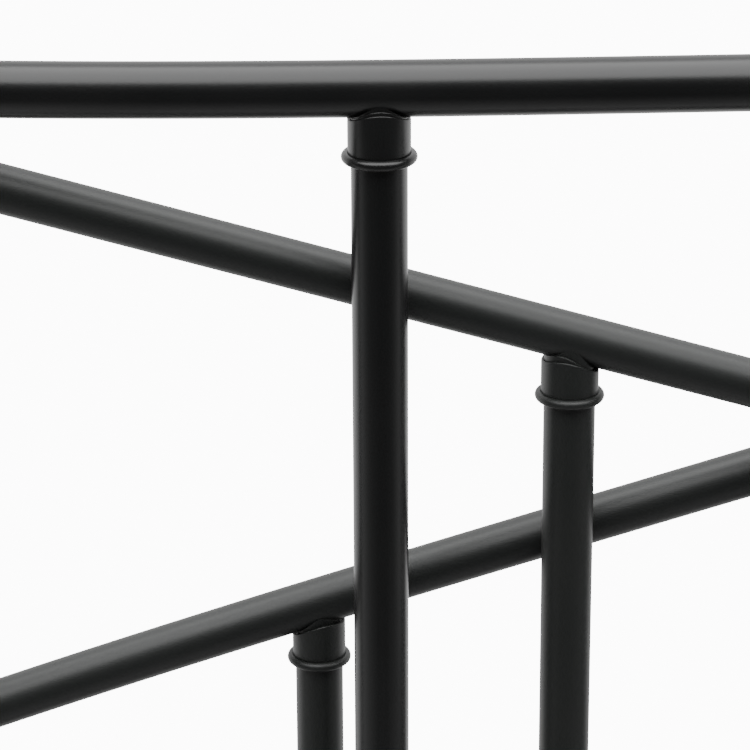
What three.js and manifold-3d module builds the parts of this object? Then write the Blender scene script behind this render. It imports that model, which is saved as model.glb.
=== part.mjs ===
// Twin metal bed frame: a tall head panel with a bowed top rail, two crossing brace tubes and collared
// spindles, a low foot panel, angle-steel side rails and a slatted deck. Millimetres, +Z up.
// +X is the right-hand side seen from the foot of the bed, +Y points to the head.
import * as THREE from 'three';
import { mergeVertices } from 'three/addons/utils/BufferGeometryUtils.js';
import Module from 'manifold-3d';

const wasm = await Module();
wasm.setup();

// Driving dimensions
const GAP = 0.35; // clearance kept between neighbouring pieces
const WALL = 1.5; // tube wall
const SIDES = 18; // facets round a tube
const POST_X = 520; // post axis from the centre line
const POST_Y = 990; // panel plane from the middle of the bed
const POST_R = 25.4;
const HEAD_RAIL_Z = 1050; // axis of the head panel's top rail
const FOOT_RAIL_Z = 640; // axis of the foot panel's top rail
const POST_RISE = 34; // post above its top rail's axis
const RAIL_R = 12.7;
const BRACE_R = 11.3;
const BRACE_DROP = 182; // crossing point of the braces, below the top rail's axis
const BRACE_SLOPE = 0.2985;
const RAIL_BOW = { middle: -26, ends: -5 }; // top rail, bowed towards the sleeper
const BRACE_BOW = { middle: 24.2, ends: 6 }; // rear brace, bowed away
const STRAIGHT = { middle: 0, ends: 0 };
const BOW_STEPS = 12; // straight steps along a bowed rail
const HEAD_SILL_DROP = 560; // sill top below the rail axis
const FOOT_SILL_DROP = 240;
const SILL_HEIGHT = 25;
const DECK_Z = 320; // top of the side rails' ledge
const RAIL_FACE_X = 500; // inner face of a side rail
const SLAT = { count: 9, width: 40, height: 15, skin: 1.6 };
const BEAM = { half: 15, length: 1500 };
const PAD = { radius: 19, height: 10, stem: 4.6, top: 42 };
const BOLT = { radius: 4, head: 8.5, headHeight: 5, z: 300 };

// Spindle layers: radius, collar ring's centre below the rail axis, and places across the panel
const FRONT = { radius: 12.7, ringDrop: 31.2, places: [-268.7, 0, 268.7] };
const MIDDLE = { radius: 12, ringDrop: 28.8, places: [-180, 58.5, 297] };
const REAR = { radius: 11.35, ringDrop: 29, places: [-296.6, -58.5, 180] };
const FOOT_PLACES = [-270, 0, 270];
const COLLAR_SIDES = 16;
const SLEEVE = 1.117; // collar sleeve radius over spindle radius
const RING = 1.158; // ring's centre circle over spindle radius
const WIRE = 0.186; // ring's wire radius over spindle radius
const COLLAR_STANDOFF = 2.3; // sleeve's top edge to the rail's skin

const powder = () => new THREE.MeshStandardMaterial({ color: 0x161617, roughness: 0.42, metalness: 0.1 });
const plastic = () => new THREE.MeshStandardMaterial({ color: 0x101010, roughness: 0.6, metalness: 0 });
const zinc = () => new THREE.MeshStandardMaterial({ color: 0xb4b6b8, roughness: 0.35, metalness: 0.9 });

const bed = new THREE.Group();

// ---- solids ----

function toSolid(geometry) {
  const bare = geometry.index ? geometry.toNonIndexed() : geometry.clone();
  bare.deleteAttribute('normal');
  bare.deleteAttribute('uv');
  const merged = mergeVertices(bare, 1e-4);
  const vertProperties = new Float32Array(merged.attributes.position.array);
  const triVerts = new Uint32Array(merged.index.array);
  return new wasm.Manifold(new wasm.Mesh({ numProp: 3, vertProperties, triVerts }));
}

function toGeometry(solid) {
  const mesh = solid.getMesh();
  const geometry = new THREE.BufferGeometry();
  geometry.setAttribute('position', new THREE.BufferAttribute(mesh.vertProperties, 3));
  geometry.setIndex(new THREE.BufferAttribute(mesh.triVerts, 1));
  geometry.computeVertexNormals();
  return geometry;
}

function add(name, solid, material, y = 0) {
  const mesh = new THREE.Mesh(toGeometry(solid), material);
  mesh.name = name;
  mesh.position.y = y;
  bed.add(mesh);
}

// Solid bar from one point to another
function bar(start, end, radius, sides = SIDES) {
  const axis = new THREE.Vector3().subVectors(end, start);
  const geometry = new THREE.CylinderGeometry(radius, radius, axis.length(), sides);
  const turn = new THREE.Quaternion().setFromUnitVectors(new THREE.Vector3(0, 1, 0), axis.clone().normalize());
  geometry.applyQuaternion(turn);
  const middle = new THREE.Vector3().addVectors(start, end).multiplyScalar(0.5);
  geometry.translate(middle.x, middle.y, middle.z);
  return toSolid(geometry);
}

function uprightBar(x, y, bottom, top, radius, sides = SIDES) {
  return bar(new THREE.Vector3(x, y, bottom), new THREE.Vector3(x, y, top), radius, sides);
}

function block(x0, x1, y0, y1, z0, z1) {
  const geometry = new THREE.BoxGeometry(x1 - x0, y1 - y0, z1 - z0);
  geometry.translate((x0 + x1) / 2, (y0 + y1) / 2, (z0 + z1) / 2);
  return toSolid(geometry);
}

// A rail's axis: bowed in depth, nearly straight in the middle and turning in towards the posts, on a slope
function railAxis(bow, height, slope) {
  const fall = (bow.middle - bow.ends) / POST_X ** 4;
  return (x) => new THREE.Vector3(x, bow.middle - fall * x ** 4, height + slope * x);
}

// Bar swept along a rail's axis, in short straight steps when the rail is bowed
function sweptBar(axis, radius, steps) {
  const reach = POST_X;
  const points = [];
  for (let i = 0; i <= steps; i += 1) {
    points.push(axis(-reach + (2 * reach * i) / steps));
  }
  const section = new THREE.Shape();
  section.absarc(0, 0, radius, 0, 2 * Math.PI);
  const path = new THREE.CatmullRomCurve3(points);
  const options = { steps, extrudePath: path, curveSegments: SIDES / 2 };
  return toSolid(new THREE.ExtrudeGeometry(section, options));
}

function postCutters() {
  const low = FOOT_RAIL_Z - 700;
  const high = HEAD_RAIL_Z + 200;
  const radius = POST_R + GAP;
  return uprightBar(-POST_X, 0, low, high, radius, 32).add(uprightBar(POST_X, 0, low, high, radius, 32));
}

// Hollow rail whose ends are coped to the posts
function rail(axis, radius, steps) {
  const outer = sweptBar(axis, radius, steps);
  const hollow = outer.subtract(sweptBar(axis, radius - WALL, steps));
  return hollow.subtract(postCutters());
}

// Round cutter that follows a rail near one place
function railCutter(axis, x, radius) {
  const reach = 45;
  return bar(axis(x - reach), axis(x + reach), radius, 24);
}

// ---- one spindle with its collar ----

function spindle(axis, railRadius, x, sillTop, radius) {
  const at = axis(x);
  const outer = uprightBar(x, at.y, sillTop + GAP, at.z, radius);
  const bore = uprightBar(x, at.y, sillTop - 10, at.z + 40, radius - WALL);
  return outer.subtract(bore).subtract(railCutter(axis, x, railRadius + GAP));
}

function collar(axis, railRadius, x, { radius, ringDrop }) {
  const at = axis(x);
  const ringZ = at.z - ringDrop;
  const sleeve = uprightBar(x, at.y, ringZ - 0.4 * WIRE * radius, at.z, SLEEVE * radius, COLLAR_SIDES);
  const torus = new THREE.TorusGeometry(RING * radius, WIRE * radius, 6, COLLAR_SIDES);
  torus.translate(x, at.y, ringZ);
  const bore = uprightBar(x, at.y, ringZ - 40, at.z + 40, radius + 0.6, COLLAR_SIDES);
  return sleeve.add(toSolid(torus)).subtract(bore).subtract(railCutter(axis, x, railRadius + COLLAR_STANDOFF));
}

function spindleRow(prefix, layer, axis, railRadius, sillTop, y) {
  layer.places.forEach((x, i) => {
    const number = i + 1;
    add(`${prefix}_spindle_${number}`, spindle(axis, railRadius, x, sillTop, layer.radius), powder(), y);
    add(`${prefix}_collar_${number}`, collar(axis, railRadius, x, layer), powder(), y);
  });
}

// ---- posts, caps and feet ----

function post(x, bottom, top, boltSide) {
  const floor = bottom + 4;
  const shell = uprightBar(x, 0, bottom, top, POST_R, 32).subtract(uprightBar(x, 0, floor, top + 5, POST_R - 2, 32));
  const stemHole = uprightBar(x, 0, bottom - 5, floor + 5, PAD.stem + GAP, 16);
  const near = new THREE.Vector3(x, -POST_R * 2, BOLT.z);
  const far = new THREE.Vector3(x, POST_R * 2, BOLT.z);
  return shell.subtract(stemHole).subtract(bar(near, far, BOLT.radius + GAP, 16));
}

function cap(x, postTop) {
  const plug = POST_R - 2 - GAP;
  const rim = postTop + GAP;
  const profile = [new THREE.Vector2(0, postTop - 14), new THREE.Vector2(plug, postTop - 14)];
  profile.push(new THREE.Vector2(plug, rim), new THREE.Vector2(POST_R, rim));
  const steps = 5;
  for (let i = 0; i < steps; i += 1) {
    const turn = (i / steps) * Math.PI * 0.5;
    profile.push(new THREE.Vector2(POST_R * Math.cos(turn), rim + 2 + 12 * Math.sin(turn)));
  }
  profile.push(new THREE.Vector2(0, rim + 14));
  const geometry = new THREE.LatheGeometry(profile, SIDES);
  geometry.rotateX(Math.PI / 2);
  geometry.translate(x, 0, 0);
  return toSolid(geometry);
}

function foot(x) {
  return uprightBar(x, 0, 0, PAD.height, PAD.radius).add(uprightBar(x, 0, 5, PAD.top, PAD.stem, 16));
}

// ---- panels ----

function sill(depthFront, depthBack, top) {
  const low = top - SILL_HEIGHT;
  const reach = POST_X - 10;
  const outer = block(-reach, reach, depthFront, depthBack, low, top);
  const inner = block(-POST_X, POST_X, depthFront + WALL, depthBack - WALL, low + WALL, top - WALL);
  return outer.subtract(inner).subtract(postCutters());
}

function posts(prefix, railZ, y) {
  const bottom = PAD.height + GAP;
  const top = railZ + POST_RISE;
  for (const [side, x] of [['left', -POST_X], ['right', POST_X]]) {
    add(`${prefix}_post_${side}`, post(x, bottom, top), powder(), y);
    add(`${prefix}_post_cap_${side}`, cap(x, top), powder(), y);
    add(`${prefix}_foot_${side}`, foot(x), plastic(), y);
  }
}

function headPanel() {
  const sillTop = HEAD_RAIL_Z - HEAD_SILL_DROP;
  const top = railAxis(RAIL_BOW, HEAD_RAIL_Z, 0);
  const falling = railAxis(STRAIGHT, HEAD_RAIL_Z - BRACE_DROP, -BRACE_SLOPE);
  const rising = railAxis(BRACE_BOW, HEAD_RAIL_Z - BRACE_DROP, BRACE_SLOPE);
  posts('head', HEAD_RAIL_Z, POST_Y);
  add('head_top_rail', rail(top, RAIL_R, BOW_STEPS), powder(), POST_Y);
  add('head_brace_falling', rail(falling, BRACE_R, 1), powder(), POST_Y);
  add('head_brace_rising', rail(rising, BRACE_R, BOW_STEPS), powder(), POST_Y);
  add('head_sill', sill(-40, 37, sillTop), powder(), POST_Y);
  spindleRow('front', FRONT, top, RAIL_R, sillTop, POST_Y);
  spindleRow('middle', MIDDLE, falling, BRACE_R, sillTop, POST_Y);
  spindleRow('rear', REAR, rising, BRACE_R, sillTop, POST_Y);
}

function footPanel() {
  const sillTop = FOOT_RAIL_Z - FOOT_SILL_DROP;
  const top = railAxis(STRAIGHT, FOOT_RAIL_Z, 0);
  const layer = { ...FRONT, places: FOOT_PLACES };
  posts('tail', FOOT_RAIL_Z, -POST_Y);
  add('tail_top_rail', rail(top, RAIL_R, 1), powder(), -POST_Y);
  add('tail_sill', sill(-20, 20, sillTop), powder(), -POST_Y);
  spindleRow('tail', layer, top, RAIL_R, sillTop, -POST_Y);
}

// ---- deck ----

// Angle steel with a bolt plate at each end; side is -1 on the left and 1 on the right
function sideRail(side) {
  const plateEnd = POST_Y - POST_R - GAP;
  const thick = 3;
  const span = (a, b, y0, y1, z0, z1) => {
    const [x0, x1] = side > 0 ? [a, b] : [-b, -a];
    return block(x0, x1, y0, y1, z0, z1);
  };
  const web = span(RAIL_FACE_X, RAIL_FACE_X + thick, -plateEnd, plateEnd, DECK_Z - thick, DECK_Z + 40);
  const ledge = span(RAIL_FACE_X - 32, RAIL_FACE_X + thick, -plateEnd + 30, plateEnd - 30, DECK_Z - thick, DECK_Z);
  let solid = web.add(ledge);
  for (const end of [-1, 1]) {
    const y0 = end > 0 ? plateEnd - 5 : -plateEnd;
    const plate = span(RAIL_FACE_X, RAIL_FACE_X + 40, y0, y0 + 5, BOLT.z - 20, DECK_Z + 40);
    const near = new THREE.Vector3(side * POST_X, y0 - 10, BOLT.z);
    const far = new THREE.Vector3(side * POST_X, y0 + 15, BOLT.z);
    solid = solid.add(plate).subtract(bar(near, far, BOLT.radius + GAP, 16));
  }
  return solid;
}

// Channel with its open side down, lying across the two ledges
function slat() {
  const { width, height, skin } = SLAT;
  const half = RAIL_FACE_X - 0.5;
  const low = DECK_Z + GAP;
  const outer = block(-half, half, -width / 2, width / 2, low, low + height);
  const inner = block(-half - 1, half + 1, -width / 2 + skin, width / 2 - skin, low - 1, low + height - skin);
  return outer.subtract(inner);
}

function centreSupport() {
  const { half, length } = BEAM;
  const top = DECK_Z;
  const outer = block(-half, half, -length / 2, length / 2, top - 2 * half, top);
  const inner = block(-half + WALL, half - WALL, -length / 2 - 1, length / 2 + 1, top - 2 * half + WALL, top - WALL);
  add('centre_beam', outer.subtract(inner), powder());
  const legTop = top - 2 * half - GAP;
  const legBottom = PAD.height + GAP;
  const shell = uprightBar(0, 0, legBottom, legTop, 14).subtract(uprightBar(0, 0, legBottom + 4, legTop + 1, 12.5));
  add('centre_leg', shell.subtract(uprightBar(0, 0, 0, legBottom + 8, PAD.stem + GAP, 16)), powder());
  add('centre_foot', foot(0), plastic());
}

function deck() {
  add('side_rail_left', sideRail(-1), powder());
  add('side_rail_right', sideRail(1), powder());
  const pitch = (2 * POST_Y - 160) / (SLAT.count - 1);
  for (let i = 0; i < SLAT.count; i += 1) {
    add(`slat_${i + 1}`, slat(), powder(), (i - (SLAT.count - 1) / 2) * pitch);
  }
  centreSupport();
}

// Bolt from outside a post, through the post and the side rail's plate; end is -1 at the foot
function cornerBolt(x, end) {
  const face = POST_R + GAP;
  const at = (reach) => new THREE.Vector3(x, end * reach, BOLT.z);
  const head = bar(at(face), at(face + BOLT.headHeight), BOLT.head, 6);
  return head.add(bar(at(-POST_R - 16), at(face + 1), BOLT.radius, 16));
}

function cornerBolts() {
  for (const [panel, end] of [['head', 1], ['tail', -1]]) {
    for (const [side, x] of [['left', -POST_X], ['right', POST_X]]) {
      add(`${panel}_bolt_${side}`, cornerBolt(x, end), zinc(), end * POST_Y);
    }
  }
}

headPanel();
footPanel();
deck();
cornerBolts();

// The origin is at the middle of the footprint, on the floor
const size = new THREE.Box3().setFromObject(bed);
const middle = size.getCenter(new THREE.Vector3());
bed.position.set(-middle.x, -middle.y, -size.min.z);

const part = new THREE.Group();
part.add(bed);

export default part;
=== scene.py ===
import math

import bmesh
import bpy
from mathutils import Matrix, Vector


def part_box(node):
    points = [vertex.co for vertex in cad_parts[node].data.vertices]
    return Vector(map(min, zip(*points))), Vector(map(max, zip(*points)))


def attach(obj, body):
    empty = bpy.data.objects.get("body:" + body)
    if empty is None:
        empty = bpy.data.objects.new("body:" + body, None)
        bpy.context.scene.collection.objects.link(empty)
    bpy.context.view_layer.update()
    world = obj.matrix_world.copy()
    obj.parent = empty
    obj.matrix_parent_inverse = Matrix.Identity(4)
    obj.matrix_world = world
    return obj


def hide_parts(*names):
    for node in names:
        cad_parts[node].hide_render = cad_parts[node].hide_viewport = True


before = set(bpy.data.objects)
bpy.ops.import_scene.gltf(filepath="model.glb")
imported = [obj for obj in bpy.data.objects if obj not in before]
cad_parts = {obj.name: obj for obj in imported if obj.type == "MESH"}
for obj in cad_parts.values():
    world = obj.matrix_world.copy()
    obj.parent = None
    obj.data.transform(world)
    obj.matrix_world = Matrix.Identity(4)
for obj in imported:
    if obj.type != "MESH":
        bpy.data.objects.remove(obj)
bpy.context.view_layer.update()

# ---------------------------------------------------------------------------------------------------------
# Studio: a pale floor that stays pale to the eye but gives the gloss little to mirror, a wide soft box
# overhead, white surroundings behind the head of the bed and a dim room in front of it. The floor lies just
# low enough to clear the levelling feet when they are screwed right out.

rail_low, rail_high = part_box("head_top_rail")
post_low, post_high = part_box("head_post_right")
head_y = (post_low[1] + post_high[1]) / 2
rail_z = (rail_low[2] + rail_high[2]) / 2

camera_data = bpy.data.cameras.new("detail_camera")
camera = bpy.data.objects.new("detail_camera", camera_data)
bpy.context.scene.collection.objects.link(camera)
bpy.context.scene.camera = camera
camera_yaw = math.radians(2.507)
camera_pitch = math.radians(22.0)
camera_roll = math.radians(0.293)
camera_place = Vector((-0.3368, head_y - 1.5256, rail_z + 0.4715))
forward = Vector((math.sin(camera_yaw) * math.cos(camera_pitch),
                  math.cos(camera_yaw) * math.cos(camera_pitch),
                  -math.sin(camera_pitch)))
level = Vector((math.cos(camera_yaw), -math.sin(camera_yaw), 0.0))
down = forward.cross(level)
right = level * math.cos(camera_roll) + down * math.sin(camera_roll)
up = level * math.sin(camera_roll) - down * math.cos(camera_roll)
turn = Matrix((right, up, -forward)).transposed().to_4x4()
camera.matrix_world = Matrix.Translation(camera_place) @ turn
camera_data.sensor_width = 36.0
camera_data.lens = 171.7
camera_data.clip_end = 50.0

floor_reach = 14.0
floor_z = -0.0125
floor_mesh = bpy.data.meshes.new("studio_floor")
floor_mesh.from_pydata([(-floor_reach, -floor_reach, floor_z), (floor_reach, -floor_reach, floor_z),
                        (floor_reach, floor_reach, floor_z), (-floor_reach, floor_reach, floor_z)],
                       [], [(0, 1, 2, 3)])
studio_floor = bpy.data.objects.new("studio_floor", floor_mesh)
bpy.context.scene.collection.objects.link(studio_floor)

# What the camera sees directly is far brighter than what the gloss mirrors, which fades along the bed.
white_to_eye = 12.0
fade_reach = 1.7
gloss_at_tail = 0.12
gloss_at_head = 1.7
floor_paint = bpy.data.materials.new("pale_floor")
floor_paint.use_nodes = True
nodes = floor_paint.node_tree.nodes
links = floor_paint.node_tree.links
nodes.clear()
out = nodes.new("ShaderNodeOutputMaterial")
# To the camera the floor glows white, and ambient occlusion darkens that glow under and around the bed as a
# painted contact shadow. The floor has no surface of its own to catch a real shadow.
corners = nodes.new("ShaderNodeAmbientOcclusion")
corners.inputs["Distance"].default_value = 0.5
corners.samples = 8
shade = nodes.new("ShaderNodeMath")
shade.operation = "POWER"
shade.inputs[1].default_value = 2.2
bright = nodes.new("ShaderNodeMath")
bright.operation = "MULTIPLY"
bright.inputs[1].default_value = white_to_eye
to_eye = nodes.new("ShaderNodeEmission")
links.new(corners.outputs["AO"], shade.inputs[0])
links.new(shade.outputs[0], bright.inputs[0])
links.new(bright.outputs[0], to_eye.inputs["Strength"])
spot = nodes.new("ShaderNodeNewGeometry")
split = nodes.new("ShaderNodeSeparateXYZ")
under_head = nodes.new("ShaderNodeMapRange")
under_head.inputs["From Min"].default_value = head_y - fade_reach
under_head.inputs["From Max"].default_value = head_y + fade_reach
under_head.inputs["To Min"].default_value = gloss_at_tail
under_head.inputs["To Max"].default_value = gloss_at_head
links.new(spot.outputs["Position"], split.inputs[0])
links.new(split.outputs["Y"], under_head.inputs["Value"])
to_gloss = nodes.new("ShaderNodeEmission")
links.new(under_head.outputs["Result"], to_gloss.inputs["Strength"])
path = nodes.new("ShaderNodeLightPath")
choose = nodes.new("ShaderNodeMixShader")
links.new(path.outputs["Is Camera Ray"], choose.inputs["Fac"])
links.new(to_gloss.outputs[0], choose.inputs[1])
links.new(to_eye.outputs[0], choose.inputs[2])
links.new(choose.outputs[0], out.inputs["Surface"])
floor_mesh.materials.append(floor_paint)

world = bpy.data.worlds.new("studio_room")
bpy.context.scene.world = world
world.use_nodes = True
nodes = world.node_tree.nodes
links = world.node_tree.links
nodes.clear()
out = nodes.new("ShaderNodeOutputWorld")
sight = nodes.new("ShaderNodeTexCoord")
split = nodes.new("ShaderNodeSeparateXYZ")
ramp = nodes.new("ShaderNodeMapRange")
ramp.inputs["From Min"].default_value = -0.35
ramp.inputs["From Max"].default_value = 0.75
ramp.inputs["To Min"].default_value = 0.06
ramp.inputs["To Max"].default_value = 1.8
ramp.interpolation_type = "SMOOTHSTEP"
room = nodes.new("ShaderNodeBackground")
plain = nodes.new("ShaderNodeBackground")
plain.inputs["Color"].default_value = (1, 1, 1, 1)
plain.inputs["Strength"].default_value = white_to_eye
path = nodes.new("ShaderNodeLightPath")
choose = nodes.new("ShaderNodeMixShader")
links.new(sight.outputs["Generated"], split.inputs[0])
links.new(split.outputs["Y"], ramp.inputs["Value"])
links.new(ramp.outputs["Result"], room.inputs["Strength"])
links.new(path.outputs["Is Camera Ray"], choose.inputs["Fac"])
links.new(room.outputs[0], choose.inputs[1])
links.new(plain.outputs[0], choose.inputs[2])
links.new(choose.outputs[0], out.inputs["Surface"])


def soft_box(name, place, aim, width, depth, power):
    data = bpy.data.lights.new(name, "AREA")
    data.shape = "RECTANGLE"
    data.size = width
    data.size_y = depth
    data.energy = power
    lamp = bpy.data.objects.new(name, data)
    bpy.context.scene.collection.objects.link(lamp)
    lamp.location = place
    lamp.rotation_euler = (Vector(aim) - Vector(place)).to_track_quat("-Z", "Y").to_euler()


over_head = (0.0, head_y - 0.35, rail_z + 2.3)
soft_box("overhead_box", place=over_head, aim=(0.0, head_y, rail_z), width=5.0, depth=3.6, power=260)

# ---------------------------------------------------------------------------------------------------------
# Posts: round steel tube, 2 in across, closed by a welded plate at the foot that takes the levelling screw.
# The whole frame is sprayed with satin black powder and baked, which leaves a faint orange-peel skin.


def powder_coat_group():
    group = bpy.data.node_groups.new("powder_coat", "ShaderNodeTree")
    for name, kind, value in (("Paint", "NodeSocketColor", (0.011, 0.011, 0.0115, 1)),
                              ("Peel Size", "NodeSocketFloat", 340.0),
                              ("Peel Depth", "NodeSocketFloat", 0.05),
                              ("Gloss Floor", "NodeSocketFloat", 0.3),
                              ("Gloss Spread", "NodeSocketFloat", 0.06),
                              ("Dust", "NodeSocketFloat", 0.02)):
        socket = group.interface.new_socket(name, in_out="INPUT", socket_type=kind)
        socket.default_value = value
    group.interface.new_socket("Colour", in_out="OUTPUT", socket_type="NodeSocketColor")
    group.interface.new_socket("Roughness", in_out="OUTPUT", socket_type="NodeSocketFloat")
    group.interface.new_socket("Normal", in_out="OUTPUT", socket_type="NodeSocketVector")
    nodes = group.nodes
    links = group.links
    given = nodes.new("NodeGroupInput")
    result = nodes.new("NodeGroupOutput")
    place = nodes.new("ShaderNodeTexCoord")

    # Slow swells of the cured skin, then the finer speck of the powder itself
    peel = nodes.new("ShaderNodeTexNoise")
    peel.inputs["Detail"].default_value = 2.0
    links.new(place.outputs["Object"], peel.inputs["Vector"])
    links.new(given.outputs["Peel Size"], peel.inputs["Scale"])
    speck_size = nodes.new("ShaderNodeMath")
    speck_size.operation = "MULTIPLY"
    speck_size.inputs[1].default_value = 5.5
    links.new(given.outputs["Peel Size"], speck_size.inputs[0])
    speck = nodes.new("ShaderNodeTexNoise")
    speck.inputs["Detail"].default_value = 1.0
    links.new(place.outputs["Object"], speck.inputs["Vector"])
    links.new(speck_size.outputs[0], speck.inputs["Scale"])
    height = nodes.new("ShaderNodeMix")
    height.data_type = "FLOAT"
    height.inputs["Factor"].default_value = 0.25
    links.new(peel.outputs["Fac"], height.inputs["A"])
    links.new(speck.outputs["Fac"], height.inputs["B"])
    bump = nodes.new("ShaderNodeBump")
    bump.inputs["Distance"].default_value = 0.0006
    links.new(given.outputs["Peel Depth"], bump.inputs["Strength"])
    links.new(height.outputs["Result"], bump.inputs["Height"])
    links.new(bump.outputs["Normal"], result.inputs["Normal"])

    # Gloss wanders a little over each tube, where the coat is thicker or thinner
    drift = nodes.new("ShaderNodeTexNoise")
    drift.inputs["Scale"].default_value = 16.0
    drift.inputs["Detail"].default_value = 3.0
    links.new(place.outputs["Object"], drift.inputs["Vector"])
    spread = nodes.new("ShaderNodeMath")
    spread.operation = "MULTIPLY_ADD"
    links.new(drift.outputs["Fac"], spread.inputs[0])
    links.new(given.outputs["Gloss Spread"], spread.inputs[1])
    links.new(given.outputs["Gloss Floor"], spread.inputs[2])
    links.new(spread.outputs[0], result.inputs["Roughness"])

    # Settled dust lifts the black slightly in soft patches
    patches = nodes.new("ShaderNodeMapRange")
    patches.inputs["From Min"].default_value = 0.45
    patches.inputs["From Max"].default_value = 0.8
    links.new(drift.outputs["Fac"], patches.inputs["Value"])
    amount = nodes.new("ShaderNodeMath")
    amount.operation = "MULTIPLY"
    links.new(patches.outputs["Result"], amount.inputs[0])
    links.new(given.outputs["Dust"], amount.inputs[1])
    tone = nodes.new("ShaderNodeMix")
    tone.data_type = "RGBA"
    tone.inputs["B"].default_value = (0.32, 0.32, 0.31, 1)
    links.new(amount.outputs[0], tone.inputs["Factor"])
    links.new(given.outputs["Paint"], tone.inputs["A"])
    links.new(tone.outputs["Result"], result.inputs["Colour"])
    return group


powder_coat = powder_coat_group()


def coated_steel(name, paint, peel_depth, gloss, dust):
    material = bpy.data.materials.new(name)
    material.use_nodes = True
    nodes = material.node_tree.nodes
    links = material.node_tree.links
    surface = nodes["Principled BSDF"]
    surface.inputs["IOR"].default_value = 1.52
    coat = nodes.new("ShaderNodeGroup")
    coat.node_tree = powder_coat
    coat.inputs["Paint"].default_value = paint
    coat.inputs["Peel Depth"].default_value = peel_depth
    coat.inputs["Gloss Floor"].default_value = gloss
    coat.inputs["Dust"].default_value = dust
    links.new(coat.outputs["Colour"], surface.inputs["Base Color"])
    links.new(coat.outputs["Roughness"], surface.inputs["Roughness"])
    links.new(coat.outputs["Normal"], surface.inputs["Normal"])
    return material


satin_black = coated_steel("satin_black_powder", (0.0072, 0.0074, 0.0076, 1), 0.04, 0.27, 0.006)
# The braces and their spindles carry the frame's satin black, made rougher. They also get a lighter,
# green-tinted colour that is painted light, standing in for the softer, cooler light on those tubes.
rough_black_painted_light = coated_steel("rough_black_powder_painted_light", (0.0155, 0.0172, 0.0164, 1), 0.05, 0.42, 0.010)


def piece(name, verts, faces, material, node, body="root", crease=38):
    mesh = bpy.data.meshes.new(name)
    mesh.from_pydata(verts, [], faces)
    build = bmesh.new()
    build.from_mesh(mesh)
    bmesh.ops.recalc_face_normals(build, faces=build.faces)
    build.to_mesh(mesh)
    build.free()
    mesh.materials.append(material)
    for face in mesh.polygons:
        face.use_smooth = True
    mesh.set_sharp_from_angle(angle=math.radians(crease))
    made = bpy.data.objects.new(name, mesh)
    bpy.context.scene.collection.objects.link(made)
    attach(made, body)
    if node:
        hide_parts(node)
    return made


def ring_faces(rings, around, closed):
    """Faces between rings of points. closed joins the last ring to the first."""
    faces = []
    spans = rings if closed else rings - 1
    for i in range(spans):
        a = i * around
        b = ((i + 1) % rings) * around
        for j in range(around):
            k = (j + 1) % around
            faces.append((a + j, a + k, b + k, b + j))
    return faces


def turned(profile, x, y, around):
    """A profile of (radius, height) turned about an upright axis; a radius of 0 closes it at that end."""
    verts = []
    faces = []
    rings = []
    for radius, z in profile:
        if radius == 0:
            rings.append([len(verts)])
            verts.append((x, y, z))
            continue
        start = len(verts)
        for j in range(around):
            angle = 2 * math.pi * j / around
            verts.append((x + radius * math.cos(angle), y + radius * math.sin(angle), z))
        rings.append(list(range(start, start + around)))
    count = len(rings)
    spans = count - 1 if len(rings[0]) == 1 else count
    for i in range(spans):
        a, b = rings[i], rings[(i + 1) % count]
        for j in range(around):
            k = (j + 1) % around
            if len(a) == 1:
                faces.append((a[0], b[k], b[j]))
            elif len(b) == 1:
                faces.append((a[j], a[k], b[0]))
            else:
                faces.append((a[j], a[k], b[k], b[j]))
    return verts, faces


def rounded(radius, centre_r, centre_z, start, end, steps):
    """Points of a rounding arc in a turned profile, angles in degrees from straight outwards."""
    points = []
    for i in range(steps + 1):
        angle = math.radians(start + (end - start) * i / steps)
        points.append((centre_r + radius * math.cos(angle), centre_z + radius * math.sin(angle)))
    return points


post_x = (post_low[0] + post_high[0]) / 2
post_r = (post_high[0] - post_low[0]) / 2
post_wall = 0.002
stem_hole = 0.0049
tail_low, tail_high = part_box("tail_post_left")
tail_y = (tail_low[1] + tail_high[1]) / 2
foot_plate = 0.004
foot_edge = 0.0015
mouth_edge = 0.0006
panels = (("head", head_y), ("tail", tail_y))
sides = (("left", -post_x), ("right", post_x))
for panel, y in panels:
    for side, x in sides:
        name = f"{panel}_post_{side}"
        low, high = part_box(name)
        inner = post_r - post_wall
        plate_top = low[2] + foot_plate
        profile = [(stem_hole, low[2]), (post_r - foot_edge, low[2])]
        profile += rounded(foot_edge, post_r - foot_edge, low[2] + foot_edge, -60, 0, 4)
        profile += rounded(mouth_edge, post_r - mouth_edge, high[2] - mouth_edge, 0, 90, 3)
        profile += [(inner, high[2]), (inner, plate_top), (stem_hole, plate_top)]
        verts, faces = turned(profile, x, y, 128)
        piece(name + "_tube", verts, faces, satin_black, name)

# ---------------------------------------------------------------------------------------------------------
# Post caps: pressed steel domes with a rolled rim, pushed into the open tops of the posts and coated with
# the frame. A shallow step shows where the rim sits on the tube.
push_gap = 0.0003
rim_overhang = 0.0006
rim_round = 0.0009
rim_height = 0.0026
dome_step = 0.0022
plug_edge = 0.001
for panel, y in panels:
    for side, x in sides:
        name = f"{panel}_post_cap_{side}"
        low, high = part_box(name)
        rim_r = post_r + rim_overhang
        rim_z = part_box(f"{panel}_post_{side}")[1][2] + push_gap
        dome_z = rim_z + rim_height
        plug_r = post_r - post_wall - push_gap
        plug_z = low[2] + plug_edge
        profile = [(0, plug_z), (plug_r - plug_edge, plug_z), (plug_r, plug_z + plug_edge), (plug_r, rim_z)]
        profile += rounded(rim_round, rim_r - rim_round, rim_z + rim_round, -90, 0, 4)
        profile += rounded(rim_round, rim_r - rim_round, dome_z - rim_round, 0, 90, 4)
        dome_r = rim_r - dome_step
        steps = 20
        for i in range(steps):
            angle = math.pi / 2 * i / steps
            profile.append((dome_r * math.cos(angle), dome_z + (high[2] - dome_z) * math.sin(angle)))
        profile.append((0, high[2]))
        verts, faces = turned(profile, x, y, 96)
        piece(name + "_dome", verts, faces, satin_black, name, crease=30)

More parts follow.
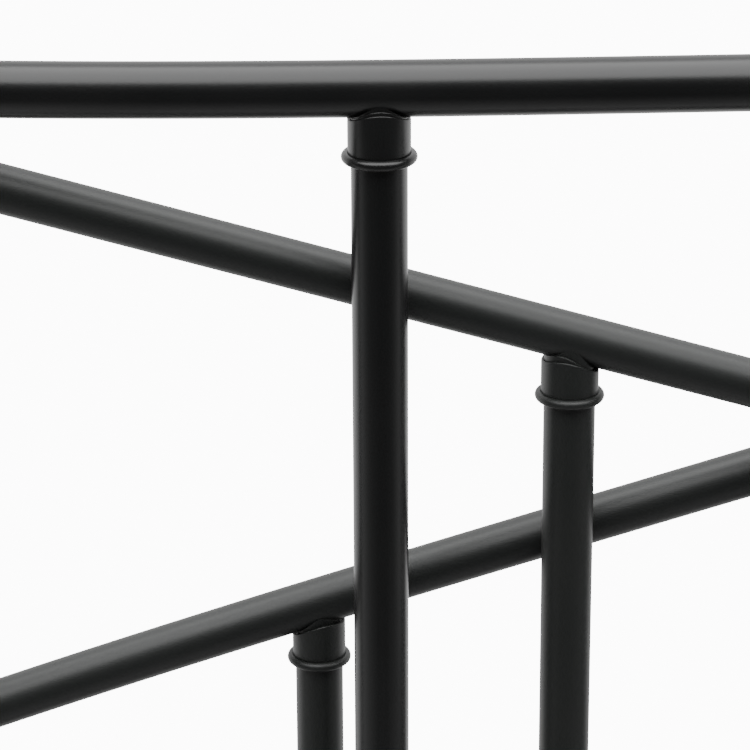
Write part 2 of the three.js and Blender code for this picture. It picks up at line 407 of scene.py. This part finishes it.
# ---------------------------------------------------------------------------------------------------------
# Rails: 25.4 mm and 22.6 mm round tube, the ends cut to the curve of the posts and welded all round. The
# head's top rail bows towards the sleeper and its rising brace bows away, so that the tubes pass each other
# without touching.
rail_r = 0.0127
brace_r = 0.0113
tube_wall = 0.0015
rail_bead = 0.0016
weld_bite = 0.0002
# beyond this, each line of a rail's skin runs straight on to the post
cope_start = post_x - 2.2 * post_r


def bowed_axis(node, y, middle=0.0, ends=0.0, slope=0.0):
    """A rail's axis in x: nearly straight in the middle, turning in at the posts, and set on a slope."""
    low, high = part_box(node)
    z = (low[2] + high[2]) / 2
    return lambda x: Vector((x, y + middle + (ends - middle) * (x / post_x) ** 4, z + slope * x))


def axis_direction(axis, x):
    step = 0.001
    return (axis(x + step) - axis(x - step)).normalized()


def section_point(axis, x, radius, angle):
    """A point on a rail's skin: angle 0 faces forwards and 90 degrees faces up."""
    along = axis_direction(axis, x)
    raised = (Vector((0, 0, 1)) - along * along.z).normalized()
    outward = along.cross(raised)
    return axis(x) + outward * (radius * math.cos(angle)) + raised * (radius * math.sin(angle))


def coped_end(axis, side, y, radius, angle):
    """Where one line of a rail's skin runs into the post on that side."""
    start = section_point(axis, side * cope_start, radius, angle)
    along = axis_direction(axis, side * (post_x - post_r)) * side
    gap = Vector((start.x - side * post_x, start.y - y))
    flat = Vector((along.x, along.y))
    a = flat.dot(flat)
    b = 2 * gap.dot(flat)
    c = gap.dot(gap) - (post_r - weld_bite) ** 2
    reach = (-b - math.sqrt(max(b * b - 4 * a * c, 0))) / (2 * a)
    return start + along * reach


def rail_tube(name, node, axis, y, radius, stations, coat):
    around = 64
    verts = []
    for shell in (radius, radius - tube_wall):
        spans = range(stations + 1) if shell == radius else range(stations, -1, -1)
        ends = (-1, 1) if shell == radius else (1, -1)
        for j in range(around):
            verts.append(coped_end(axis, ends[0], y, shell, 2 * math.pi * j / around))
        for i in spans:
            x = -cope_start + 2 * cope_start * i / stations
            for j in range(around):
                verts.append(section_point(axis, x, shell, 2 * math.pi * j / around))
        for j in range(around):
            verts.append(coped_end(axis, ends[1], y, shell, 2 * math.pi * j / around))
    faces = ring_faces(2 * (stations + 3), around, True)
    piece(name, verts, faces, coat, node)


def weld_bead(name, points, lean, size, coat):
    """A fillet of weld laid along a closed line; lean gives each point's way out of the corner it fills."""
    around = 12
    ripple_share = 0.06
    ripple_turn = 2.1
    count = len(points)
    verts = []
    for i in range(count):
        along = (points[(i + 1) % count] - points[i - 1]).normalized()
        out = (lean[i] - along * lean[i].dot(along)).normalized()
        across = along.cross(out)
        bead = size * (1 + ripple_share * math.sin(i * ripple_turn))
        for j in range(around):
            angle = 2 * math.pi * j / around
            verts.append(points[i] + out * (bead * math.cos(angle)) + across * (bead * math.sin(angle)))
    piece(name, verts, ring_faces(count, around, True), coat, None, crease=80)


def rail_welds(name, axis, y, radius, coat):
    around = 72
    for side, word in ((-1, "left"), (1, "right")):
        points = []
        lean = []
        for j in range(around):
            angle = 2 * math.pi * j / around
            point = coped_end(axis, side, y, radius, angle)
            centre = axis(side * (post_x - post_r))
            off_rail = point - centre
            off_rail.x = 0
            off_post = Vector((point.x - side * post_x, point.y - y, 0)).normalized()
            points.append(point)
            lean.append(off_rail.normalized() + off_post)
        weld_bead(f"{name}_weld_{word}", points, lean, rail_bead, coat)


brace_slope = 0.2985
head_rail_axis = bowed_axis("head_top_rail", head_y, middle=-0.026, ends=-0.005)
falling_axis = bowed_axis("head_brace_falling", head_y, slope=-brace_slope)
rising_axis = bowed_axis("head_brace_rising", head_y, middle=0.0242, ends=0.006, slope=brace_slope)
tail_rail_axis = bowed_axis("tail_top_rail", tail_y)
for node, axis, y, radius, stations, coat in (
        ("head_top_rail", head_rail_axis, head_y, rail_r, 48, satin_black),
        ("head_brace_falling", falling_axis, head_y, brace_r, 8, rough_black_painted_light),
        ("head_brace_rising", rising_axis, head_y, brace_r, 48, rough_black_painted_light),
        ("tail_top_rail", tail_rail_axis, tail_y, rail_r, 8, satin_black)):
    rail_tube(node + "_tube", node, axis, y, radius, stations, coat)
    rail_welds(node, axis, y, radius, coat)

# ---------------------------------------------------------------------------------------------------------
# Sills: flat-sided steel tube with rolled corners, laid across each panel as the landing for its spindles,
# its ends shaped round the posts and closed.
sill_corner = 0.004
sill_end = post_x - 0.010


def sill_bar(name, node, y):
    low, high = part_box(node)
    front, back = low[1], high[1]
    bend = 6
    line = []
    for i in range(bend + 1):
        angle = math.pi / 2 * i / bend
        line.append((front + sill_corner * (1 - math.cos(angle)), sill_corner * (1 - math.sin(angle))))
    flats = 36
    for i in range(1, flats):
        line.append((front + sill_corner + (back - front - 2 * sill_corner) * i / flats, 0.0))
    line += [(back + front - across, fall) for across, fall in line[bend::-1]]
    verts = []
    for end in (-1, 1):
        for surface in (1, -1):
            for across, fall in line:
                off = abs(across - y)
                inset = math.sqrt(post_r ** 2 - off ** 2) if off < post_r else 0.0
                x = end * min(sill_end, post_x - inset)
                z = high[2] - fall if surface > 0 else low[2] + fall
                verts.append((x, across, z))
    n = len(line)
    faces = []
    for i in range(n - 1):
        for a, b in ((0, 2 * n), (n, 3 * n), (0, n), (2 * n, 3 * n)):
            faces.append((a + i, a + i + 1, b + i + 1, b + i))
    for i in (0, n - 1):
        faces.append((i, n + i, 3 * n + i, 2 * n + i))
    piece(name, verts, faces, satin_black, node, crease=35)


sill_bar("head_sill_bar", "head_sill", head_y)
sill_bar("tail_sill_bar", "tail_sill", tail_y)

# ---------------------------------------------------------------------------------------------------------
# Spindles: upright round tubes, saddle-cut to the underside of their rail and welded there, and butted and
# welded on the sill. The top weld is set back behind the cut edge.
weld_overlap = 0.0003
weld_set_back = 0.0011
foot_bead = 0.0014


def under_rail(axis, rail_radius, x, radius, angle):
    """A point on the rail's underside, straight above one line of an upright tube's skin."""
    at = axis(x)
    along = axis_direction(axis, x)
    u = radius * math.cos(angle)
    v = radius * math.sin(angle)
    level_part = u * along.x + v * along.y
    a = 1 - along.z ** 2
    b = -2 * along.z * level_part
    c = u * u + v * v - level_part ** 2 - rail_radius ** 2
    drop = (-b - math.sqrt(max(b * b - 4 * a * c, 0))) / (2 * a)
    return Vector((at.x + u, at.y + v, at.z + drop))


def cut_line(axis, rail_radius, x, radius, cut, angle):
    """Height of a saddle cut made to suit a rail: low at the sides, rising to front and back."""
    standoff, rise, lean, turn = cut
    along = axis_direction(axis, x)
    sideways = radius * math.cos(angle)
    low = axis(x).z + sideways * along.z / along.x - rail_radius - standoff + lean * math.cos(angle)
    return low + rise * radius * math.sin(angle + turn) ** 2


def shell_round(name, axis, x, lines, coat, node, crease):
    """Lines of (radius, height), one for each turn about an upright axis, joined into a closed shell."""
    at = axis(x)
    around = len(lines)
    points = len(lines[0])
    verts = []
    for i in range(points):
        for j, line in enumerate(lines):
            angle = 2 * math.pi * j / around
            radius, z = line[i]
            verts.append((at.x + radius * math.cos(angle), at.y + radius * math.sin(angle), z))
    piece(name, verts, ring_faces(points, around, True), coat, node, crease=crease)


def spindle_tube(name, node, axis, rail_radius, x, radius, cut, coat):
    """The tube stops at its saddle cut, and the weld carries on from there to the rail."""
    around = 96
    foot_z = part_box(node)[0][2] - weld_overlap
    inner = radius - tube_wall
    weld = radius - weld_set_back
    lip = 0.0004
    lines = []
    for j in range(around):
        angle = 2 * math.pi * j / around
        crest = cut_line(axis, rail_radius, x, radius, cut, angle)
        line = [(inner, foot_z), (radius, foot_z), (radius, crest - 2 * lip)]
        for i in range(5):
            bend = math.pi / 2 * i / 4
            line.append((radius - lip + lip * math.cos(bend), crest - lip + lip * math.sin(bend)))
        root = under_rail(axis, rail_radius, x, weld, angle).z + weld_overlap
        line += [(weld, crest), (weld, max(crest, root))]
        line.append((inner, under_rail(axis, rail_radius, x, inner, angle).z + weld_overlap))
        lines.append(line)
    shell_round(name, axis, x, lines, coat, node, 38)
    at = axis(x)
    angles = [2 * math.pi * j / around for j in range(around)]
    ways = [Vector((math.cos(angle), math.sin(angle), 0)) for angle in angles]
    foot_line = [Vector((at.x, at.y, foot_z)) + way * radius for way in ways]
    weld_bead(name + "_foot_weld", foot_line, [way + Vector((0, 0, 1)) for way in ways], foot_bead, coat)


# ---------------------------------------------------------------------------------------------------------
# Collars: a short sleeve slid over the spindle, its top edge cut to suit the rail and rounded, with a ring
# of round wire pressed on at its lower end. A narrow dark gap is left between the sleeve and the rail.
sleeve_share = 1.117
ring_share = 1.158
wire_share = 0.186
sleeve_gap = 0.0002
groove_depth = 0.0003
wire_tuck = 0.35
skirt_wall = 0.0007
skirt_edge = 0.0003


def collar_shell(name, node, axis, rail_radius, x, radius, ring_drop, cut, coat):
    around = 128
    outer = sleeve_share * radius
    inner = radius + sleeve_gap
    skirt = inner + skirt_wall
    wire = wire_share * radius
    ring_r = ring_share * radius
    ring_z = axis(x).z - ring_drop
    skirt_z = ring_z - wire - 2 * skirt_edge
    lip = 0.0005
    steps = 26
    # the wire leaves the sleeve above, goes round outside and comes back to the skirt below
    upper = math.pi - math.acos((ring_r - outer) / wire)
    lower = -math.pi / 2 - wire_tuck
    groove_z = ring_z + wire * math.sin(upper)
    lines = []
    for j in range(around):
        angle = 2 * math.pi * j / around
        crest = cut_line(axis, rail_radius, x, outer, cut, angle)
        line = [(inner, crest - sleeve_gap)]
        for i in range(6):
            bend = math.pi / 2 * (1 - i / 5)
            line.append((outer - lip + lip * math.cos(bend), crest - lip + lip * math.sin(bend)))
        line += [(outer, groove_z + 4 * groove_depth), (outer, groove_z + groove_depth / 3),
                 (outer - groove_depth, groove_z - groove_depth / 3)]
        for i in range(steps + 1):
            bend = upper + (lower - upper) * i / steps
            line.append((ring_r + wire * math.cos(bend), ring_z + wire * math.sin(bend)))
        line += [(skirt, ring_z - 0.9 * wire), (skirt, skirt_z + skirt_edge),
                 (skirt - skirt_edge, skirt_z), (inner, skirt_z)]
        lines.append(line)
    shell_round(name, axis, x, lines, coat, node, 48)


# Each layer has its rail's axis and radius, its spindles' radius, the depth of its rings below the rail's
# axis, its coat and two cuts, the spindle's and the sleeve's. A cut is its distance under the rail, its
# rise for each unit of radius, its lean and its turn in plan.
layers = (("front", head_rail_axis, rail_r, 0.0127, 0.0312, satin_black,
           (0.0003, 0.47, 0.0, 0.0), (0.0008, 0.355, 0.0, 0.0)),
          ("middle", falling_axis, brace_r, 0.0120, 0.0288, rough_black_painted_light,
           (0.0018, 0.47, -0.0003, 0.25), (0.0024, 0.345, 0.0017, 0.14)),
          ("rear", rising_axis, brace_r, 0.01135, 0.0290, rough_black_painted_light,
           (0.0017, 0.29, 0.0, 0.0), (0.00125, 0.32, -0.00045, 0.0)),
          ("tail", tail_rail_axis, rail_r, 0.0127, 0.0312, satin_black,
           (0.0003, 0.47, 0.0, 0.0), (0.0008, 0.355, 0.0, 0.0)))
for layer, axis, over, radius, ring_drop, coat, tube_cut, sleeve_cut in layers:
    for number in (1, 2, 3):
        node = f"{layer}_spindle_{number}"
        low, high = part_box(node)
        x = (low[0] + high[0]) / 2
        spindle_tube(node + "_tube", node, axis, over, x, radius, tube_cut, coat)
        collar = f"{layer}_collar_{number}"
        collar_shell(collar + "_shell", collar, axis, over, x, radius, ring_drop, sleeve_cut, coat)

# ---------------------------------------------------------------------------------------------------------
# Side rails: rolled angle steel, its ledge turned in under the slats, with a thick bolt plate welded across
# each end and a hex nut welded behind the plate's hole.
bolt_low, bolt_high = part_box("head_bolt_left")
bolt_z = (bolt_low[2] + bolt_high[2]) / 2
angle_steel = 0.003
web_inset = 0.020
ledge_width = 0.032
deck_drop = 0.040
heel_round = 0.0045
root_round = 0.0015
edge_round = 0.0008
plate_width = 0.040
plate_steel = 0.005
plate_corner = 0.004
nut_r = 0.0075
nut_thick = 0.0065


def lengthways(sign, start):
    """Sets stock along the bed: turns (across, up, along) into a point on the left or right of it."""
    return lambda a, u, s: (sign * a, start + s, u)


def extruded(outline, place, length):
    """A closed outline carried straight through length, with place turning it into points."""
    n = len(outline)
    verts = [place(a, u, s) for s in (0.0, length) for a, u in outline]
    faces = ring_faces(2, n, False) + [tuple(range(n)), tuple(range(2 * n - 1, n - 1, -1))]
    return verts, faces


def round_corners(corners, radii):
    """An outline with each corner rounded by its own radius."""
    steps = 5
    points = []
    n = len(corners)
    for i in range(n):
        here = Vector(corners[i])
        to_last = (Vector(corners[i - 1]) - here).normalized()
        to_next = (Vector(corners[(i + 1) % n]) - here).normalized()
        a = here + to_last * radii[i]
        b = here + to_next * radii[i]
        for k in range(steps + 1):
            t = k / steps
            soft = a * (1 - t) ** 2 + here * 2 * t * (1 - t) + b * t ** 2
            points.append((soft.x, soft.y))
    return points


web = post_x - web_inset
skin = web + angle_steel
ledge_end = web - ledge_width
plate_end = web + plate_width
sixth = math.pi / 3
nut = [(post_x + nut_r * math.cos(sixth * k), bolt_z + nut_r * math.sin(sixth * k)) for k in range(6)]
for side, sign in (("left", -1), ("right", 1)):
    node = f"side_rail_{side}"
    low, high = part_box(node)
    deck_z = high[2] - deck_drop
    corners = [(skin, deck_z - angle_steel), (skin, high[2]), (web, high[2]), (web, deck_z),
               (ledge_end, deck_z), (ledge_end, deck_z - angle_steel)]
    radii = [heel_round, edge_round, edge_round, root_round, edge_round, edge_round]
    place = lengthways(sign, low[1] + plate_steel)
    verts, faces = extruded(round_corners(corners, radii), place, high[1] - low[1] - 2 * plate_steel)
    piece(f"{node}_angle", verts, faces, satin_black, node)
    corners = [(web, low[2]), (plate_end, low[2]), (plate_end, high[2]), (web, high[2])]
    outline = round_corners(corners, [plate_corner] * 4)
    plates = (("tail", low[1], low[1] + plate_steel),
              ("head", high[1] - plate_steel, high[1] - plate_steel - nut_thick))
    for end, plate_y, nut_y in plates:
        verts, faces = extruded(outline, lengthways(sign, plate_y), plate_steel)
        piece(f"{node}_{end}_plate", verts, faces, satin_black, None)
        verts, faces = extruded(nut, lengthways(sign, nut_y), nut_thick)
        piece(f"{node}_{end}_nut", verts, faces, satin_black, None)

# ---------------------------------------------------------------------------------------------------------
# Corner bolts: zinc-plated hex bolts with a washer face under the head, passed through the posts into the
# side rails' nuts. Plating leaves fine crystals and a little brushed streak.


def zinc_plate():
    material = bpy.data.materials.new("zinc_plated_steel")
    material.use_nodes = True
    nodes = material.node_tree.nodes
    links = material.node_tree.links
    surface = nodes["Principled BSDF"]
    surface.inputs["Metallic"].default_value = 1.0
    place = nodes.new("ShaderNodeTexCoord")
    crystals = nodes.new("ShaderNodeTexVoronoi")
    crystals.inputs["Scale"].default_value = 900.0
    links.new(place.outputs["Object"], crystals.inputs["Vector"])
    tone = nodes.new("ShaderNodeValToRGB")
    tone.color_ramp.elements[0].color = (0.42, 0.43, 0.45, 1)
    tone.color_ramp.elements[1].color = (0.66, 0.66, 0.67, 1)
    links.new(crystals.outputs["Distance"], tone.inputs["Fac"])
    links.new(tone.outputs["Color"], surface.inputs["Base Color"])
    streak = nodes.new("ShaderNodeTexNoise")
    streak.inputs["Scale"].default_value = 700.0
    links.new(place.outputs["Object"], streak.inputs["Vector"])
    gloss = nodes.new("ShaderNodeMapRange")
    gloss.inputs["To Min"].default_value = 0.28
    gloss.inputs["To Max"].default_value = 0.45
    links.new(streak.outputs["Fac"], gloss.inputs["Value"])
    links.new(gloss.outputs["Result"], surface.inputs["Roughness"])
    bump = nodes.new("ShaderNodeBump")
    bump.inputs["Strength"].default_value = 0.1
    bump.inputs["Distance"].default_value = 0.0002
    links.new(streak.outputs["Fac"], bump.inputs["Height"])
    links.new(bump.outputs["Normal"], surface.inputs["Normal"])
    return material


zinc = zinc_plate()
shank_r = 0.0040
thread_root_r = 0.0035
pitch = 0.00125
tip_edge = 0.001
thread_start = 0.0012
plain_shank = 0.040
washer_r = 0.0080
washer_back = 0.0049
head_flat_r = 0.0072
head_back = 0.0042
head_edge = 0.0010
to_corner = 1.155
for panel, end in (("head", 1), ("tail", -1)):
    for side, x in sides:
        node = f"{panel}_bolt_{side}"
        low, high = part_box(node)
        tip, face = (low[1], high[1]) if end > 0 else (high[1], low[1])
        around = 48
        # stations from the tip to the head: distance back from the head's face, radius, whether hexagonal
        length = abs(face - tip)
        stations = [(length, shank_r - tip_edge, False), (length - tip_edge, shank_r, False)]
        turns = int((length - plain_shank) / pitch)
        for k in range(turns):
            back = length - thread_start - k * pitch
            stations += [(back, shank_r, False), (back - pitch / 2, thread_root_r, False)]
        thread_end = length - thread_start - turns * pitch - 0.0002
        stations += [(thread_end, shank_r, False), (washer_back, shank_r, False),
                     (washer_back, washer_r, False), (head_back, washer_r, False),
                     (head_back, head_flat_r, True), (head_edge, head_flat_r, True),
                     (0.2 * head_edge, head_flat_r - 0.4 * head_edge, False),
                     (0.0, head_flat_r - head_edge, False)]
        verts = []
        for back, radius, hexed in stations:
            y = face - end * back
            for j in range(around):
                angle = 2 * math.pi * j / around
                wedge = angle % (math.pi / 3) - math.pi / 6
                reach = radius * math.cos(math.pi / 6) / math.cos(wedge) * to_corner if hexed else radius
                verts.append((x + reach * math.cos(angle), y, bolt_z + reach * math.sin(angle)))
        faces = ring_faces(len(stations), around, False)
        last = (len(stations) - 1) * around
        faces += [tuple(range(around)), tuple(range(last + around - 1, last - 1, -1))]
        piece(node + "_hex", verts, faces, zinc, node, crease=30)

# ---------------------------------------------------------------------------------------------------------
# Slats: folded steel channel, open side down, lying on the side rails' ledges and tied by the centre beam.
# They are coated like the frame, a little drier and dustier.
deck_black = coated_steel("deck_black_powder", (0.009, 0.0092, 0.0095, 1), 0.07, 0.38, 0.02)
slat_steel = 0.0016
slat_corner = 0.003
cut_edge = 0.0004


def crossways(start):
    """Sets stock across the bed: turns (along the bed, up, along the slat) into a point."""
    return lambda a, u, s: (start + s, a, u)


for number in range(1, 10):
    node = f"slat_{number}"
    low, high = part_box(node)
    front, back = low[1] + slat_steel, high[1] - slat_steel
    under = high[2] - slat_steel
    corners = [(low[1], low[2]), (low[1], high[2]), (high[1], high[2]), (high[1], low[2]),
               (back, low[2]), (back, under), (front, under), (front, low[2])]
    inner_corner = slat_corner - slat_steel
    radii = [cut_edge, slat_corner, slat_corner, cut_edge, cut_edge, inner_corner, inner_corner, cut_edge]
    verts, faces = extruded(round_corners(corners, radii), crossways(low[0]), high[0] - low[0])
    piece(node + "_channel", verts, faces, deck_black, node)

# ---------------------------------------------------------------------------------------------------------
# Centre beam and leg: square tube under the slats, carried at its middle by one round leg. The leg is
# welded to the beam and closed at the bottom by a plate that takes a levelling foot.
beam_corner = 0.003
low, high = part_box("centre_beam")


def square_loop(inset, corner):
    left, right = low[0] + inset, high[0] - inset
    bottom, top = low[2] + inset, high[2] - inset
    return round_corners([(left, bottom), (right, bottom), (right, top), (left, top)], [corner] * 4)


outer = square_loop(0.0, beam_corner)
inner = square_loop(tube_wall, beam_corner - tube_wall)
loops = ((outer, low[1]), (outer, high[1]), (inner, high[1]), (inner, low[1]))
verts = [(a, s, u) for loop, s in loops for a, u in loop]
faces = ring_faces(len(loops), len(outer), True)
piece("centre_beam_tube", verts, faces, deck_black, "centre_beam")

low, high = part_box("centre_leg")
leg_edge = 0.001
leg_top = high[2] + weld_bite
leg_r = (high[0] - low[0]) / 2
leg_y = (low[1] + high[1]) / 2
inner = leg_r - tube_wall
plate_top = low[2] + foot_plate
profile = [(stem_hole, low[2]), (leg_r - leg_edge, low[2]), (leg_r, low[2] + leg_edge), (leg_r, leg_top),
           (inner, leg_top), (inner, plate_top), (stem_hole, plate_top)]
verts, faces = turned(profile, 0.0, leg_y, 64)
piece("centre_leg_tube", verts, faces, deck_black, "centre_leg")

# ---------------------------------------------------------------------------------------------------------
# Levelling feet: black moulded plastic discs on a threaded stem, screwed into the posts and the centre leg.
# The disc has a shallow groove round its edge for the fingers.


def moulded_plastic():
    material = bpy.data.materials.new("black_moulded_plastic")
    material.use_nodes = True
    nodes = material.node_tree.nodes
    links = material.node_tree.links
    surface = nodes["Principled BSDF"]
    place = nodes.new("ShaderNodeTexCoord")
    grain = nodes.new("ShaderNodeTexNoise")
    grain.inputs["Scale"].default_value = 1500.0
    grain.inputs["Detail"].default_value = 2.0
    scuff = nodes.new("ShaderNodeTexNoise")
    scuff.inputs["Scale"].default_value = 90.0
    tone = nodes.new("ShaderNodeValToRGB")
    tone.color_ramp.elements[0].color = (0.010, 0.010, 0.010, 1)
    tone.color_ramp.elements[1].color = (0.030, 0.030, 0.029, 1)
    gloss = nodes.new("ShaderNodeMapRange")
    gloss.inputs["To Min"].default_value = 0.48
    gloss.inputs["To Max"].default_value = 0.68
    bump = nodes.new("ShaderNodeBump")
    bump.inputs["Strength"].default_value = 0.2
    bump.inputs["Distance"].default_value = 0.0003
    links.new(place.outputs["Object"], grain.inputs["Vector"])
    links.new(place.outputs["Object"], scuff.inputs["Vector"])
    links.new(scuff.outputs["Fac"], tone.inputs["Fac"])
    links.new(tone.outputs["Color"], surface.inputs["Base Color"])
    links.new(scuff.outputs["Fac"], gloss.inputs["Value"])
    links.new(gloss.outputs["Result"], surface.inputs["Roughness"])
    links.new(grain.outputs["Fac"], bump.inputs["Height"])
    links.new(bump.outputs["Normal"], surface.inputs["Normal"])
    return material


plastic = moulded_plastic()
pad_thick = 0.010
pad_edge = 0.0015
pad_shoulder = 0.0025
pad_fall = 0.0002
groove_low = 0.0034
groove_high = 0.0060
groove_in = 0.0008
boss_r = 0.0085
boss_top_r = 0.0075
stem_r = 0.0043
stem_root_r = stem_r - 0.0005
stem_crest_r = stem_r + 0.0002
stem_tip = 0.0008
stem_neck = 0.0006
stem_pitch = 0.0015
feet = [(f"{panel}_foot_{side}", f"glide_{panel}_{side}") for panel, _ in panels for side, _ in sides]
feet.append(("centre_foot", "glide_centre"))
for node, body in feet:
    low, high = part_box(node)
    x = (low[0] + high[0]) / 2
    y = (low[1] + high[1]) / 2
    pad_r = (high[0] - low[0]) / 2
    pad_top = low[2] + pad_thick
    groove_r = pad_r - groove_in
    profile = [(0, low[2])]
    profile += rounded(pad_edge, pad_r - pad_edge, low[2] + pad_edge, -90, 0, 5)
    profile += [(pad_r, low[2] + groove_low), (groove_r, low[2] + groove_low + groove_in),
                (groove_r, low[2] + groove_high - groove_in), (pad_r, low[2] + groove_high)]
    profile += rounded(pad_shoulder, pad_r - pad_shoulder, pad_top - pad_fall - pad_shoulder, 0, 90, 6)
    profile += [(boss_r, pad_top - pad_fall), (boss_top_r, pad_top - pad_fall / 2), (stem_r, pad_top)]
    z = pad_top + stem_neck
    while z + stem_pitch < high[2] - 0.001:
        profile += [(stem_crest_r, z), (stem_root_r, z + stem_pitch / 2)]
        z += stem_pitch
    profile += [(stem_root_r, high[2] - stem_tip), (stem_root_r - stem_tip, high[2]), (0, high[2])]
    verts, faces = turned(profile, x, y, 72)
    piece(node + "_glide", verts, faces, plastic, node, body=body, crease=35)
